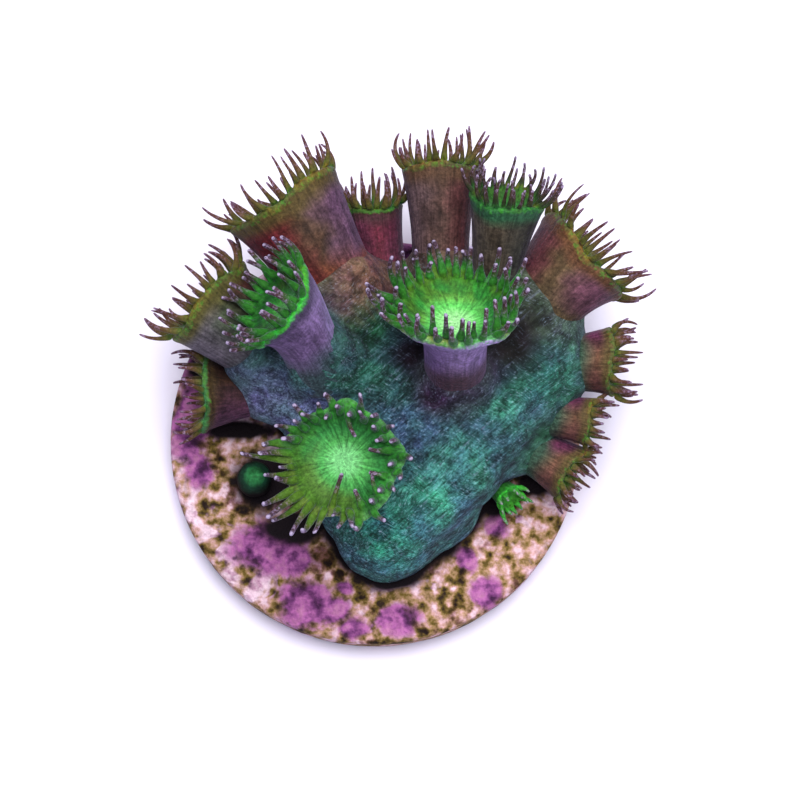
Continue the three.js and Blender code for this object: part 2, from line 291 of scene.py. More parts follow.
def grow_fringe(bm, polyp, faces, leans, marks, luck):
    """Grows a tentacle out of each face, step by step, with a curl and a tip of its own."""
    half = min(TIP_HALF_WIDTHS[polyp["tips"]], polyp["rim"] * TIP_TO_RIM)
    side, _, longer = polyp["flop"]
    grown = {}
    for k, face in enumerate(faces):
        face[marks["which"]] = k
        centre = face.calc_center_median()
        around = math.atan2(centre.y, centre.x)
        start, end = leans(around, luck)
        stretch = 1 + longer * max(0, math.cos(around - math.radians(side))) ** 2
        grown[k] = dict(
            at=centre.copy(),
            around=around,
            start=start,
            end=end,
            sway=luck.uniform(-0.9, 0.9),
            length=polyp["reach"] * stretch * luck.uniform(0.62, 1.2),
            across=Vector((math.cos(around), math.sin(around), 0)),
            along=Vector((-math.sin(around), math.cos(around), 0)),
            thick=half * luck.uniform(0.9, 1.1),
            fade=luck.uniform(0.75, 1.4),
        )
    row = faces
    done = 0.0
    for share, width in zip(TIP_STEPS, TIP_WIDTHS[polyp["tips"]]):
        row = bmesh.ops.extrude_discrete_faces(bm, faces=row)["faces"]
        for face in row:
            t = grown[face[marks["which"]]]
            lean = math.radians(t["start"] + (t["end"] - t["start"]) * share)
            swing = t["around"] + t["sway"] * share
            out = Vector((math.cos(swing), math.sin(swing), 0))
            ahead = out * math.sin(lean) + Vector((0, 0, math.cos(lean)))
            across = out * math.cos(lean) - Vector((0, 0, math.sin(lean)))
            along = ahead.cross(across)
            centre = t["at"] + ahead * t["length"] * (share - done)
            for v in face.verts:
                arm = v.co - t["at"]
                a = math.copysign(1, arm.dot(t["across"]))
                b = math.copysign(1, arm.dot(t["along"]))
                v.co = centre + (across * a + along * b) * t["thick"] * width
                v[marks["tip"]] = share ** t["fade"]
            t["at"], t["across"], t["along"] = centre, across, along
        done = share


# How far up a tube its rings are, below the lip.
TUBE_STEPS = (0.12, 0.26, 0.4, 0.54, 0.66, 0.77, 0.86, 0.93)
# How far the beads along a lip stand out.
BEADS = {"knobbed": 0.12, "pointed": 0.05, "leafy": 0.1, "dusky": 0.08}


def grow_polyp(polyp, index, material):
    """Turns a tube with a lip and a shallow cup, grows its fringe, and bends it into place."""
    luck = random.Random(100 + index)
    length, rim, cup, fringe = stalk_length(polyp), polyp["rim"], polyp["cup"], polyp["fringe"]
    bm = bmesh.new()
    rise_mark = bm.verts.layers.float.new("rise")
    turn_mark = bm.verts.layers.float_vector.new("turn")
    marks = {"tip": bm.verts.layers.float.new("tip"), "which": bm.faces.layers.int.new("which")}
    bmesh.ops.create_circle(bm, cap_ends=True, segments=fringe, radius=polyp["neck"])
    open_edge = list(bm.edges)
    for share in TUBE_STEPS:
        radius = tube_radius(polyp, share)
        open_edge, _, _ = next_ring(bm, open_edge, radius, share * length, rise_mark, share)
    lip = min(0.42, rim * 0.12)
    # Over the lip and down to the mouth's middle: radius, height and rise, which is 1 on the
    # lip and 2 in the middle.
    profile = [
        (rim * 0.975, length - lip * 1.1, 0.968),
        (rim, length, 1.0),
        (rim - lip * 0.35, length + lip * 0.28, 1.03),
        (rim - lip * 1.4, length + lip * 0.2, 1.07),
        (rim - lip * 2.4, length - lip * 0.15, 1.12),
        (rim * 0.64, length - cup * 0.5, 1.3),
        (rim * 0.49, length - cup * 0.82, 1.48),
        (rim * 0.33, length - cup * 0.97, 1.66),
        (rim * 0.16, length - cup, 1.84),
        (rim * 0.05, length - cup * 0.96, 1.95),
    ]
    beds = []
    for radius, height, rise in profile:
        open_edge, walls, ring = next_ring(bm, open_edge, radius, height, rise_mark, rise)
        beds.append(walls)
    bmesh.ops.pointmerge(bm, verts=ring, merge_co=(0, 0, length - cup * 1.02))

    def column(face):
        """A wall's number round the tube, the same in every run."""
        centre = face.calc_center_median()
        return round(math.atan2(centre.y, centre.x) / math.pi * fringe) // 2 % fringe

    # Tentacles stand on every other wall of two rings inside the lip, and beads on the lip.
    outer = sorted((f for f in beds[3] if column(f) % 2 == 0), key=column)
    inner = sorted((f for f in beds[4] if column(f) % 2), key=column)
    for bead in bmesh.ops.poke(bm, faces=beds[1])["verts"]:
        bead.co.xy *= 1 + BEADS[polyp["tips"]] / rim
        bead[rise_mark] = 1.0

    side, further, _ = polyp["flop"]

    def leans(around, luck, spread, curl):
        """Where a tentacle points at its foot and at its tip, in degrees out from upright."""
        toward = math.cos(around - math.radians(side))
        if luck.random() < polyp.get("folds", 0.0) * (1 - toward) / 2:
            # Folded in flat over the mouth.
            return luck.uniform(-76, -60), luck.uniform(-96, -84)
        lean = spread + further * toward
        return lean + luck.uniform(-12, 14), lean * curl + luck.uniform(-40, 30)

    def outer_leans(around, luck):
        return leans(around, luck, polyp["spread"] + 10, 0.05)

    def inner_leans(around, luck):
        return leans(around, luck, polyp["spread"] * 0.4, 0.3)

    grow_fringe(bm, polyp, outer, outer_leans, marks, luck)
    grow_fringe(bm, polyp, inner, inner_leans, marks, luck)

    # The lip waves up and down three times round, with small ripples, and frills in and out.
    points = np.array([v.co[:] for v in bm.verts])
    around = np.arctan2(points[:, 1], points[:, 0])
    out = np.hypot(points[:, 0], points[:, 1])
    opened = np.clip((points[:, 2] / length - 0.5) * 2, 0, 1) * np.clip(out / rim, 0, 1)
    points[:, 2] += polyp["wave"] * opened * np.sin(-3 * around + 2 * index)
    points[:, 2] += 0.35 * polyp["wave"] * opened**3 * np.sin(7 * around + index)
    frill = np.sin(5 * around + 1.7 * index) + 0.6 * np.sin(9 * around + index)
    points[:, :2] *= 1 + (0.12 * polyp["wave"] * opened**3 * frill)[:, None]
    for v, a in zip(bm.verts, around):
        v[turn_mark] = (math.cos(a), math.sin(a), v[rise_mark])
    for v, place in zip(bm.verts, bend_along_stalk(points, polyp)):
        v.co = place
    return finished(bm, polyp["name"] + "_flesh", polyp["name"], material, levels=2)


def close_foot(bm):
    """Closes each open edge with a flat face, cut into triangles."""
    caps = bmesh.ops.holes_fill(bm, edges=[e for e in bm.edges if e.is_boundary])["faces"]
    bmesh.ops.triangulate(bm, faces=caps)


def lobe_distance(points, at, radii):
    q = points - np.array(at)
    r = np.array(radii)
    near = np.linalg.norm(q / r, axis=1)
    far = np.linalg.norm(q / r / r, axis=1)
    return near * (near - 1) / np.maximum(far, 1e-6)


def soft_min(a, b, blend):
    h = np.maximum(blend - np.abs(a - b), 0) / blend
    return np.minimum(a, b) - h * h * blend / 4


def mound_distance(points):
    """How far points are from the mound's skin, less than 0 inside it."""
    d = np.full(len(points), 99.0)
    for at, radii in MOUND_LOBES:
        d = soft_min(d, lobe_distance(points, at, radii), MOUND_BLEND)
    for polyp in POLYPS:
        for along, width in ROOT_SWELLS[: polyp.get("swells", 2)]:
            at = Vector(polyp["base"]).lerp(stalk_knee(polyp), along)
            r = polyp["neck"] * width
            d = soft_min(d, lobe_distance(points, at, (r, r, r)), ROOT_BLEND)
    return d


# The mound's colour, and the tints over it: the place, how far the tint reaches, its colour,
# and how strong the nap of fibres is there. A later tint lies over an earlier one. Some tints
# are painted shade and painted highlight, marked below.
MOUND_BASE = (54, 96, 100)
MOUND_TINTS_AND_PAINTED_LIGHT = [
    ((4, 10, 10), 5.5, (52, 38, 30), 0.25),
    ((-2, 4.5, 12), 4, (40, 80, 62), 0.8),
    ((-3, 8, 12), 3.4, (58, 28, 36), 0.3),
    ((11, 7, 11), 5.5, (62, 60, 50), 0.6),
    ((12, 3, 13), 4, (50, 80, 86), 1),
    ((6, 2, 12.5), 6.5, (54, 78, 90), 0.9),
    ((3, -0.5, 11), 4, (62, 92, 112), 1),
    ((-6, 1, 9), 5, (114, 120, 162), 1),
    ((-8, 4, 9), 4, (116, 118, 160), 1),
    ((0, 3, 12), 3.5, (46, 88, 84), 0.9),
    # Along the ridge from the tongue to the right: its greener tone, with painted highlight on the
    # crest.
    ((1, -8, 7), 4.5, (56, 138, 126), 1),
    ((4, -5.5, 9), 3.6, (60, 128, 118), 0.9),
    ((7, -2.7, 10.4), 3.2, (64, 130, 118), 0.8),
    ((10, 0.6, 11.2), 3.4, (60, 114, 108), 0.8),
    ((12.8, 3.8, 11), 3.4, (48, 108, 96), 0.9),
    # Painted shade in the hollow round polyp_under_right's root.
    ((8.5, -3.4, 4.6), 3, (56, 46, 60), 0.6),
    ((-1.7, 10.2, 12), 4.2, (140, 66, 36), 0.05),
    ((0.6, 9.4, 11.5), 1.8, (76, 34, 34), 0),
    ((-0.4, 7, 12), 2.9, (36, 80, 60), 0.8),
    ((-2.5, 7.6, 12), 2.1, (50, 24, 34), 0.3),
    # Painted shade: the dark hollows either side of polyp_top's foot under its cup, and the darker
    # maroon and purple round that foot.
    ((2.6, 5, 12.5), 2.6, (24, 22, 32), 0.4),
    ((10.4, 5.7, 13), 4.2, (24, 17, 21), 0.15),
    ((6, 3.4, 13), 4.2, (66, 40, 46), 0.6),
    ((4.6, 1.5, 13), 2.2, (60, 34, 64), 0.8),
]


def tint_of_mound(points):
    """The colour at each point, with the nap's strength as its fourth number."""
    tint = np.tile(srgb(*MOUND_BASE), (len(points), 1))
    # The colour of each polyp's foot runs out over the mound round its root; polyp_top's dark
    # foot, painted shade under its cup, runs out with it.
    roots = [
        (stalk_knee(p).lerp(Vector(p["base"]), 0.2), p["neck"] + 2.6, TONES[p["tones"]]["foot"], 0.25)
        for p in POLYPS
    ]
    for at, reach, colour, nap in roots + MOUND_TINTS_AND_PAINTED_LIGHT:
        away = np.linalg.norm(points - np.array(at), axis=1)
        near = np.clip(1.4 - 1.4 * away / reach, 0, 1)[:, None]
        tint += (np.array((*srgb(*colour)[:3], nap)) - tint) * near**1.3
    return tint


def cut_flat(bm):
    """Cuts away what is below the disc's top, and closes the cut."""
    everything = bm.verts[:] + bm.edges[:] + bm.faces[:]
    bmesh.ops.bisect_plane(
        bm, geom=everything, plane_co=(0, 0, FLESH_FOOT), plane_no=(0, 0, -1), clear_outer=True
    )
    close_foot(bm)


def grow_mound(material):
    """A ball of flesh drawn out to the mound's lobes, cut flat where it sits on the disc."""
    bm = bmesh.new()
    bmesh.ops.create_icosphere(bm, subdivisions=6, radius=1)
    heart = np.array(MOUND_HEART)
    rays = np.array([v.co[:] for v in bm.verts])
    rays /= np.linalg.norm(rays, axis=1)[:, None]
    # Each ray is followed inwards, from well outside, until it meets the skin.
    far = np.full(len(rays), 24.0)
    for _ in range(60):
        gap = mound_distance(rays * far[:, None] + heart)
        far -= np.where(gap < 0.01, 0, np.maximum(gap * 0.6, 0.01))
    for v, place in zip(bm.verts, rays * far[:, None] + heart):
        v.co = place
    cut_flat(bm)
    tint = tint_of_mound(np.array([v.co[:] for v in bm.verts]))
    tint_mark = bm.verts.layers.float_color.new("tint")
    for v, colour in zip(bm.verts, tint):
        along, across = (v.co.x + v.co.y) * 0.7, (v.co.y - v.co.x) * 0.7
        folds = noise.noise(Vector((along * 0.16, across * 0.62, v.co.z * 0.4)))
        wobble = 0.45 * folds + noise.noise(v.co * 0.35) * 0.2 + noise.noise(v.co * 0.9) * 0.16
        if v.co.z > DISC_TOP + 0.3:
            v.co += (v.co - Vector(MOUND_HEART)).normalized() * wobble
        v[tint_mark] = colour
    return finished(bm, "mound_flesh", "fleshy_mound", material, levels=1)


# Plates of purple crust: their places on the disc's top and their half widths.
CRUST_PLATES = [
    (-8.2, -8.4, 3.0, 2.0), (-6.4, -9.4, 2.0, 1.3), (-5.3, -12.8, 2.3, 2.0), (-3.4, -13.4, 1.4, 1.2),
    (-1.7, -14.8, 1.2, 0.9), (1.9, -14.0, 1.8, 1.3), (8.6, -12.0, 1.3, 1.3), (7.1, -9.4, 0.8, 1.1),
    (9.5, -6.9, 0.9, 1.0), (-2.3, -11.6, 0.7, 0.6), (7.4, -6.5, 0.6, 0.7), (-14.4, 1.2, 1.6, 3.0),
    (-13.4, 5.6, 2.0, 3.0), (-13.6, -2.4, 1.2, 1.4), (-4, 14, 3, 2), (3, 13.5, 2.5, 2),
    (11.5, 9.5, 2.5, 2), (14.2, -3.2, 0.8, 0.8),
]
# Places on the disc painted dark as shade, where the polyps and the bud overhang it, and their half
# widths.
PAINTED_SHADE_SPOTS = [
    (-10.6, 0.7, 3.2, 0.8), (-8.6, -3.4, 3.1, 2.9), (-6.2, -7.0, 3.0, 1.5), (9.4, -4.8, 2, 1.4),
    (-12.9, 6.1, 1.9, 2.4), (12.3, -3.4, 1.5, 1.3),
]


def spot_cover(spots, x, y):
    """1 well inside a spot, 0 well outside, from the nearest one."""
    best = 0.0
    for at_x, at_y, half_x, half_y in spots:
        away = math.hypot((x - at_x) / half_x, (y - at_y) / half_y)
        best = max(best, 1.5 - away)
    return max(0.0, min(1.0, best))


def crusted_disc(material):
    """The disc: a puck with a worn edge, its top rough with crust and barer to the left."""
    bm = bmesh.new()
    crust = bm.verts.layers.float.new("crust")
    painted_shade = bm.verts.layers.float.new("painted_shade")
    bare = bm.verts.layers.float.new("bare")
    height_mark = bm.verts.layers.float.new("height")
    flat = DISC_RADIUS - 0.5
    bmesh.ops.create_circle(bm, segments=160, radius=flat)
    edge = list(bm.edges)
    # Up the side: how far each ring is in from the edge, and its height.
    side = [(0.2, 0.1), (0.03, 0.3), (0, 0.6), (0, 1.6), (0, 2.6), (0.05, 2.9), (0.2, 3.1)]
    for inward, height in side:
        edge, _, _ = next_ring(bm, edge, DISC_RADIUS - inward, height, height_mark, height)
    for radius in np.linspace(flat, 0.5, 40):
        edge, _, _ = next_ring(bm, edge, float(radius), DISC_TOP, height_mark, DISC_TOP)
    close_foot(bm)
    flesh_away = mound_distance(np.array([v.co[:] for v in bm.verts]))
    for v, away in zip(bm.verts, flesh_away):
        v[crust] = spot_cover(CRUST_PLATES, v.co.x, v.co.y)
        v[bare] = min(1, max(0, (-3 - v.co.x) / 8))
        # Painted shade: dark in the spots above and in a band round the mound's foot, where the flesh
        # shades the disc.
        v[painted_shade] = max(spot_cover(PAINTED_SHADE_SPOTS, v.co.x, v.co.y), min(1, max(0, 1 - away / 1.5)))
        if v.co.z > 2.5:
            grain = noise.noise(v.co * 1.4) * 0.16 + noise.noise(v.co * 3.4) * 0.09
            v.co.z += grain - 0.18 + 0.1 * v[crust]
        elif 0.2 < v.co.z:
            v.co.xy *= 1 - 0.004 * (1 + noise.noise(v.co * 1.2))
    return finished(bm, "disc_ceramic", "frag_disc", material, levels=1)


def close_bud(material):
    """A closed polyp: a low dome gathered at the top."""
    bm = bmesh.new()
    rise = bm.verts.layers.float.new("rise")
    bmesh.ops.create_uvsphere(bm, u_segments=20, v_segments=14, radius=1)
    for v in bm.verts:
        height = v.co.z
        v[rise] = (height + 1) / 2
        around = math.atan2(v.co.y, v.co.x)
        if height > 0.4:
            v.co.xy *= 1 - 0.2 * (height - 0.4) * (1 + math.cos(10 * around))
        v.co *= 1 + 0.12 * noise.noise(v.co * 1.8)
    bmesh.ops.scale(bm, vec=BUD["radii"], verts=bm.verts)
    bmesh.ops.translate(bm, vec=BUD["at"], verts=bm.verts)
    cut_flat(bm)
    return finished(bm, "bud_flesh", "closed_bud", material, levels=2)


# Finishes


class Finish:
    """A material's node tree, with short ways to add and join nodes."""

    def __init__(self, name, rough, sheen=0.0):
        self.material = bpy.data.materials.new(name)
        self.material.use_nodes = True
        self.tree = self.material.node_tree
        self.shader = self.tree.nodes["Principled BSDF"]
        self.shader.inputs["Roughness"].default_value = rough
        self.shader.inputs["Specular IOR Level"].default_value = 0.14
        self.shader.inputs["Sheen Weight"].default_value = sheen
        self.shader.inputs["Sheen Roughness"].default_value = 0.35
        self.shader.inputs["Sheen Tint"].default_value = (0.55, 0.45, 0.85, 1)

    def add(self, kind, **values):
        node = self.tree.nodes.new(kind)
        for key, value in values.items():
            setattr(node, key, value)
        return node

    def join(self, source, target):
        self.tree.links.new(source, target)

    def place(self):
        return self.add("ShaderNodeTexCoord").outputs["Object"]

    def mark(self, name, output="Fac"):
        return self.add("ShaderNodeAttribute", attribute_name=name).outputs[output]

    def stretched(self, vector, scale, turned=0.0):
        """Turns a vector back by an angle round Z, then stretches it."""
        node = self.add("ShaderNodeMapping", vector_type="TEXTURE")
        node.inputs["Rotation"].default_value = (0, 0, math.radians(turned))
        node.inputs["Scale"].default_value = [1 / s for s in scale]
        self.join(vector, node.inputs["Vector"])
        return node.outputs["Vector"]

    def grain(self, vector, scale, detail=3.0, rough=0.55, twist=0.0, output="Fac"):
        node = self.add("ShaderNodeTexNoise")
        node.inputs["Scale"].default_value = scale
        node.inputs["Detail"].default_value = detail
        node.inputs["Roughness"].default_value = rough
        node.inputs["Distortion"].default_value = twist
        self.join(vector, node.inputs["Vector"])
        return node.outputs[output]

    def maths(self, kind, a, b=None, clamp=False):
        node = self.add("ShaderNodeMath", operation=kind, use_clamp=clamp)
        for socket, value in zip(node.inputs, (a, b)):
            if value is None:
                continue
            if isinstance(value, (int, float)):
                socket.default_value = value
            else:
                self.join(value, socket)
        return node.outputs[0]

    def swayed(self, value, by, amount):
        """A value moved to and fro by a noise."""
        away = self.maths("MULTIPLY", self.maths("SUBTRACT", by, 0.5), amount)
        return self.maths("ADD", value, away)

    def step(self, value, low, high):
        """0 below low, 1 above high, smooth between, or falling where low is the larger."""
        node = self.add("ShaderNodeMapRange", interpolation_type="SMOOTHSTEP")
        node.inputs["From Min"].default_value = low
        node.inputs["From Max"].default_value = high
        self.join(value, node.inputs["Value"])
        return node.outputs["Result"]

    def ramp(self, value, stops):
        node = self.add("ShaderNodeValToRGB")
        band = node.color_ramp
        while len(band.elements) > 1:
            band.elements.remove(band.elements[-1])
        band.elements[0].position, band.elements[0].color = stops[0]
        for position, colour in stops[1:]:
            band.elements.new(position).color = colour
        self.join(value, node.inputs["Fac"])
        return node.outputs["Color"]

    def grey(self, value, low, high, dark, light):
        """A grey from dark at low to light at high, to multiply a colour by."""
        return self.ramp(value, [(low, (dark, dark, dark, 1)), (high, (light, light, light, 1))])

    def blend(self, factor, a, b, how="MIX"):
        node = self.add("ShaderNodeMix", data_type="RGBA", blend_type=how)
        for socket, value in ((node.inputs[0], factor), (node.inputs[6], a), (node.inputs[7], b)):
            if isinstance(value, (int, float, tuple)):
                socket.default_value = value
            else:
                self.join(value, socket)
        return node.outputs[2]

    def nap(self, place):
        """Short fine fibres, felted, mostly lying one of two ways, with a little drift."""
        drift = self.add("ShaderNodeVectorMath", operation="MULTIPLY_ADD")
        self.join(self.grain(place, 300, 2, output="Color"), drift.inputs[0])
        drift.inputs[1].default_value = (0.0016, 0.0016, 0.0016)
        self.join(place, drift.inputs[2])
        swept, crossed = (
            self.grain(self.stretched(drift.outputs[0], (1200, 10500, 5600), turned), 1, 4, 0.75)
            for turned in (46, -30)
        )
        patches = self.grain(place, 320, 2, 0.5)
        felt = self.blend(self.step(patches, 0.4, 0.6), swept, crossed)
        return self.blend(0.4, felt, self.grain(place, 4400, 3, 0.7))

    def relief(self, height, depth_mm, strength=1.0):
        node = self.add("ShaderNodeBump")
        node.inputs["Strength"].default_value = strength
        node.inputs["Distance"].default_value = depth_mm * MM
        self.join(height, node.inputs["Height"])
        self.join(node.outputs["Normal"], self.shader.inputs["Normal"])

    def colour(self, value):
        self.join(value, self.shader.inputs["Base Color"])


# A polyp's colours. foot, waist, throat: up the tube. one_side, other_side: its two flanks.
# On some tones the foot and the flanks are painted shade and painted highlight, marked below.
# line: the lip. edge, middle, glow, heart: inwards over the oral disc.
SHADED_FACE = dict(edge=(56, 104, 34), middle=(44, 104, 40), glow=(60, 140, 58), heart=(90, 180, 76))
TONES = {
    "olive": dict(
        foot=(72, 84, 96), waist=(64, 76, 54), throat=(80, 76, 38), line=(78, 98, 42),
        # one_side: a painted highlight along the lower edge. other_side: partly its maroon, partly
        # painted shade under polyp_top_left.
        one_side=(94, 88, 98), other_side=(76, 36, 38), **SHADED_FACE,
    ),
    "maroon": dict(
        foot=(120, 60, 38), waist=(74, 56, 42), throat=(86, 72, 40), line=(82, 98, 42),
        one_side=(108, 34, 44), other_side=(104, 74, 102), **SHADED_FACE,
    ),
    "wine": dict(
        foot=(116, 54, 48), waist=(94, 34, 50), throat=(74, 44, 50), line=(48, 104, 42),
        one_side=(96, 46, 70), other_side=(84, 40, 60), **SHADED_FACE,
    ),
    "rust": dict(
        foot=(108, 66, 42), waist=(90, 66, 60), throat=(90, 66, 50), line=(80, 90, 48),
        one_side=(90, 72, 76), other_side=(92, 50, 54), **SHADED_FACE,
    ),
    "teal": dict(
        foot=(64, 48, 42), waist=(78, 68, 56), throat=(50, 96, 66), line=(44, 112, 50),
        one_side=(84, 78, 70), other_side=(58, 60, 52), **SHADED_FACE,
    ),
    "bronze": dict(
        foot=(86, 72, 50), waist=(88, 72, 48), throat=(100, 68, 46), line=(84, 90, 44),
        one_side=(98, 50, 60), other_side=(112, 70, 88), **SHADED_FACE,
    ),
    "amber": dict(
        foot=(54, 84, 68), waist=(102, 70, 52), throat=(92, 76, 46), line=(86, 96, 46),
        one_side=(98, 46, 76), other_side=(96, 60, 56), **SHADED_FACE,
    ),
    "leaf": dict(
        foot=(84, 70, 98), waist=(50, 130, 46), throat=(50, 156, 46), line=(54, 190, 56),
        one_side=(46, 112, 44), other_side=(50, 120, 50),
        edge=(50, 144, 42), middle=(60, 160, 48), glow=(80, 180, 70), heart=(100, 200, 80),
    ),
    "umber": dict(
        foot=(60, 36, 48), waist=(54, 34, 24), throat=(68, 54, 32), line=(54, 124, 66),
        one_side=(76, 46, 66), other_side=(40, 22, 26), **SHADED_FACE,
    ),
    "heather": dict(
        foot=(60, 84, 88), waist=(126, 102, 150), throat=(78, 66, 94), line=(52, 180, 58),
        # one_side: painted shade on the flank away from the lamp. other_side: painted highlight on
        # the flank towards it.
        one_side=(106, 84, 126), other_side=(140, 126, 176),
        edge=(34, 104, 32), middle=(28, 86, 34), glow=(50, 140, 50), heart=(90, 190, 76),
    ),
    "lilac": dict(
        # foot: painted shade under the cup. one_side, other_side: painted shade on both flanks,
        # deeper on one_side.
        foot=(66, 40, 46), waist=(152, 126, 180), throat=(160, 142, 194), line=(104, 176, 112),
        one_side=(114, 86, 140), other_side=(142, 118, 172),
        edge=(44, 124, 36), middle=(44, 134, 52), glow=(100, 206, 96), heart=(176, 255, 168),
    ),
    "moss": dict(
        foot=(50, 70, 66), waist=(64, 80, 78), throat=(70, 108, 70), line=(80, 150, 80),
        one_side=(60, 72, 72), other_side=(74, 78, 94),
        edge=(40, 116, 40), middle=(52, 134, 64), glow=(80, 170, 84), heart=(136, 226, 144),
    ),
}
# What turns a green margin olive.
OLIVE = (2.5, 0.84, 0.6, 1)
# How much the lip is specked with bright green.
LIP_SPECKS = {"knobbed": 0.75, "pointed": 0.4, "leafy": 0.75, "dusky": 0.6}
# A tentacle's colours from its foot to its tip.
TIPS = {
    "knobbed": [
        (0.0, (52, 132, 40)), (0.4, (44, 116, 38)), (0.6, (60, 84, 42)), (0.78, (74, 48, 50)),
        (0.93, (86, 64, 84)), (0.99, (180, 168, 202)),
    ],
    "pointed": [
        (0.0, (84, 108, 40)), (0.2, (92, 90, 40)), (0.5, (98, 68, 42)), (0.8, (92, 52, 52)),
        (0.96, (112, 80, 106)),
    ],
    "dusky": [
        (0.0, (36, 72, 34)), (0.25, (48, 60, 34)), (0.5, (66, 48, 38)), (0.85, (78, 54, 60)),
        (0.98, (150, 132, 166)),
    ],
    "leafy": [
        (0.0, (56, 170, 48)), (0.5, (60, 160, 50)), (0.8, (84, 150, 70)), (0.96, (130, 140, 130)),
    ],
}


def margin_patches(skin, polyp, turn, cloud):
    """Where the margin of an oral disc is olive: here and there, or on one side."""
    if "olive" not in polyp:
        return skin.step(cloud, 0.42, 0.62)
    side = math.radians(polyp["olive"])
    along = skin.maths("MULTIPLY", turn["X"], math.cos(side))
    across = skin.maths("MULTIPLY", turn["Y"], math.sin(side))
    return skin.step(skin.swayed(skin.maths("ADD", along, across), cloud, 1.4), 0.1, 0.8)


def polyp_skin(polyp):
    """Flesh of one polyp: lengthwise streaks, a bright lip, a rayed oral disc, banded tips."""
    tone = {part: srgb(*colour) for part, colour in TONES[polyp["tones"]].items()}
    skin = Finish(polyp["name"] + "_skin", 0.6, sheen=0.22 if polyp["tips"] == "knobbed" else 0.08)
    root = polyp.get("root", 0.3)
    place = skin.place()
    rise, tip, turn = skin.mark("rise"), skin.mark("tip"), skin.mark("turn", "Vector")
    streaks = skin.grain(skin.stretched(turn, (11, 11, 2.2)), 1, 4, 0.65)
    fine = skin.grain(place, 4200, 3, 0.7)
    cloud = skin.grain(place, 420, 2, 0.5)

    # Rise is halved for the ramp: the lip is at 0.5 and the mouth's middle at 1.
    body = skin.ramp(skin.maths("MULTIPLY", skin.swayed(rise, cloud, 0.1), 0.5), [
        (0.0, tone["foot"]), (root / 2, tone["foot"]),
        (root / 2 + 0.1, tone["waist"]), (0.41, tone["waist"]),
        (0.455, tone["throat"]), (0.488, tone["throat"]),
        (0.5, tone["line"]), (0.515, tone["line"]),
        (0.54, tone["edge"]), (0.68, tone["middle"]), (0.81, tone["glow"]),
        (0.94, tone["heart"]), (1.0, tone["heart"]),
    ])
    split = skin.add("ShaderNodeSeparateXYZ")
    skin.join(turn, split.inputs[0])
    across = skin.swayed(split.outputs["X"], cloud, 1.1)
    mottled = skin.grey(skin.grain(place, 760, 4, 0.7), 0.36, 0.64, 0.58, 1.4)
    above_root = skin.step(skin.swayed(rise, cloud, 0.3), root - 0.06, root + 0.18)
    below_lip = skin.maths("SUBTRACT", above_root, skin.step(rise, 0.84, 0.95), clamp=True)
    # The two flanks: on some tones these carry painted shade and painted highlight.
    for side, toward in (("one_side", 1.0), ("other_side", -1.0)):
        flank = skin.step(skin.maths("MULTIPLY", across, toward), -0.1, 0.9)
        body = skin.blend(skin.maths("MULTIPLY", flank, below_lip), body, tone[side])
    body = skin.blend(0.8, body, skin.grey(streaks, 0.34, 0.66, 0.45, 1.45), "MULTIPLY")
    at_lip = skin.maths("MULTIPLY", skin.step(rise, 0.955, 0.99), skin.step(rise, 1.08, 1.04))
    specks = skin.maths("MULTIPLY", skin.step(skin.grain(place, 2600, 2), 0.5, 0.66), at_lip)
    specks = skin.maths("MULTIPLY", specks, LIP_SPECKS[polyp["tips"]])
    body = skin.blend(specks, body, srgb(62, 160, 46))
    margin = skin.maths("MULTIPLY", skin.step(rise, 0.95, 1.05), skin.step(rise, 1.6, 1.3))
    patch = margin_patches(skin, polyp, split.outputs, cloud)
    tanned = skin.blend(1.0, body, OLIVE, "MULTIPLY")
    body = skin.blend(skin.maths("MULTIPLY", margin, patch), body, tanned)
    near_foot = skin.maths("SUBTRACT", 1.0, above_root)
    furred = skin.blend(1.0, body, skin.grey(skin.nap(place), 0.38, 0.62, 0.3, 1.7), "MULTIPLY")
    body = skin.blend(near_foot, body, furred)
    body = skin.blend(below_lip, body, skin.blend(1.0, body, mottled, "MULTIPLY"))

    bands = [(at, srgb(*colour)) for at, colour in TIPS[polyp["tips"]]]
    arms = skin.ramp(skin.swayed(tip, fine, 0.22), bands)
    if "olive" in polyp:
        lower = skin.maths("MULTIPLY", patch, skin.step(tip, 0.7, 0.45))
        arms = skin.blend(lower, arms, skin.blend(1.0, arms, OLIVE, "MULTIPLY"))
    beads = skin.maths("MULTIPLY", skin.step(fine, 0.5, 0.62), skin.step(tip, 0.3, 0.7))
    arms = skin.blend(skin.maths("MULTIPLY", beads, 0.6), arms, srgb(150, 132, 166))
    colour = skin.blend(skin.step(tip, 0.02, 0.2), body, arms)
    skin.colour(skin.blend(0.85, colour, skin.grey(fine, 0.34, 0.66, 0.55, 1.4), "MULTIPLY"))
    skin.relief(skin.maths("ADD", fine, streaks), 0.12, 0.7)
    return skin.material


